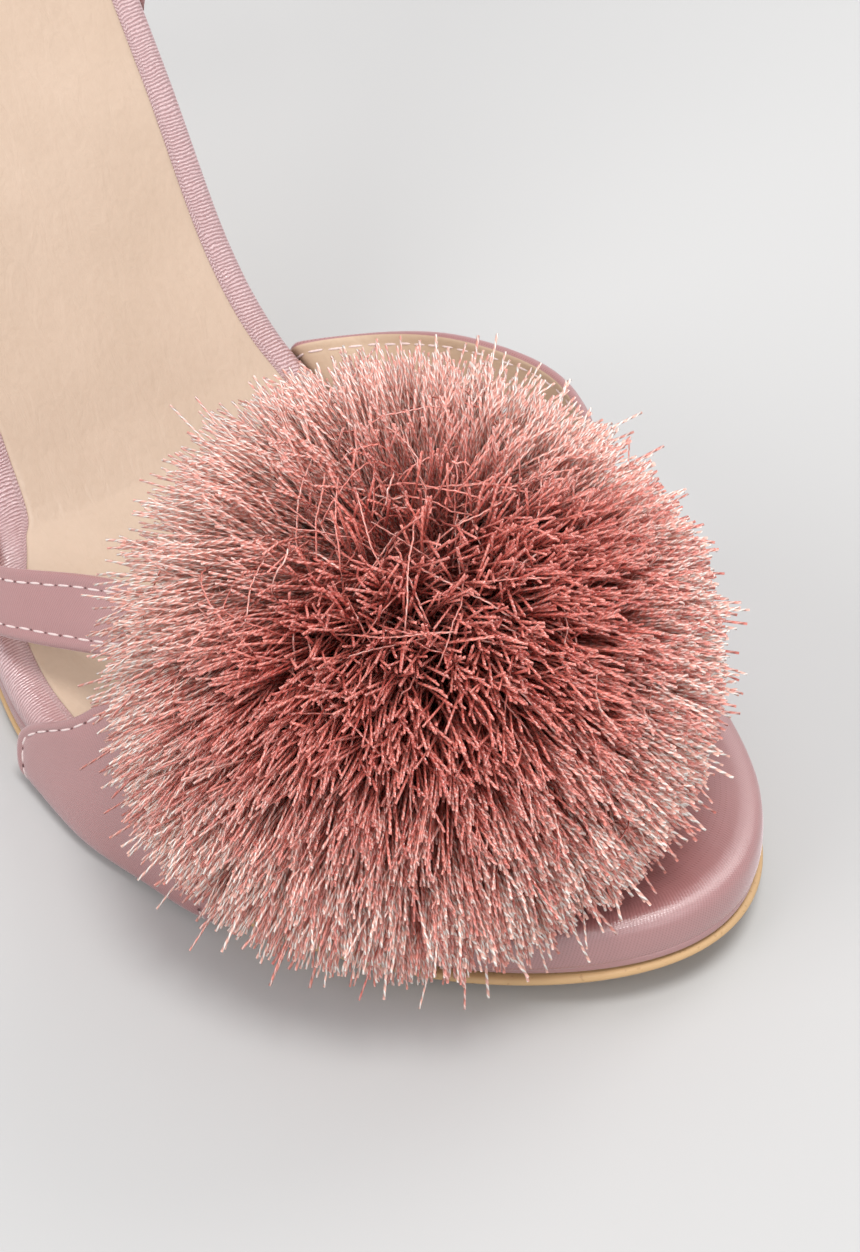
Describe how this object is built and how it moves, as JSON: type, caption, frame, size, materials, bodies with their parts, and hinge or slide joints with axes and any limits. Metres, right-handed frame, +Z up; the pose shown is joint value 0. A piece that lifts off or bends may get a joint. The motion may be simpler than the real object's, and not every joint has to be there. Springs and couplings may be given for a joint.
{
  "type": "stiletto sandal",
  "caption": "Open-toe satin stiletto sandal: strapped front with a thread pompom, closed heel counter, ankle strap and slim covered heel.",
  "frame": {"origin": "on the floor under the middle of the ball of the foot, in the flat tread of the outsole", "axes": "+X to the toe, +Y to the shoe's left, which is the inner side of this right shoe, +Z up"},
  "size_m": [0.2291, 0.0901, 0.1764],
  "materials": {
    "satin": "pale mauve pink satin cloth with a soft sheen",
    "sock_leather": "smooth beige lining leather, faintly wrinkled",
    "outsole_tan": "tan sole sheet with fine specks",
    "lift_rubber": "hard brown top lift",
    "buckle_metal": "polished pale gold wire",
    "pompom_thread": "shiny twisted rose thread, paler at the cut ends"
  },
  "bodies": {
    "root": {"outsole": "outsole_tan", "midsole": "satin", "insole": "satin", "sock": "sock_leather", "upper": "satin", "counter": "satin", "heel": "satin", "top_lift": "lift_rubber", "ankle_strap": "satin", "strap_loop": "satin", "buckle_frame": "buckle_metal", "buckle_prong": "buckle_metal", "pompom": "pompom_thread"}
  },
  "joints": []
}
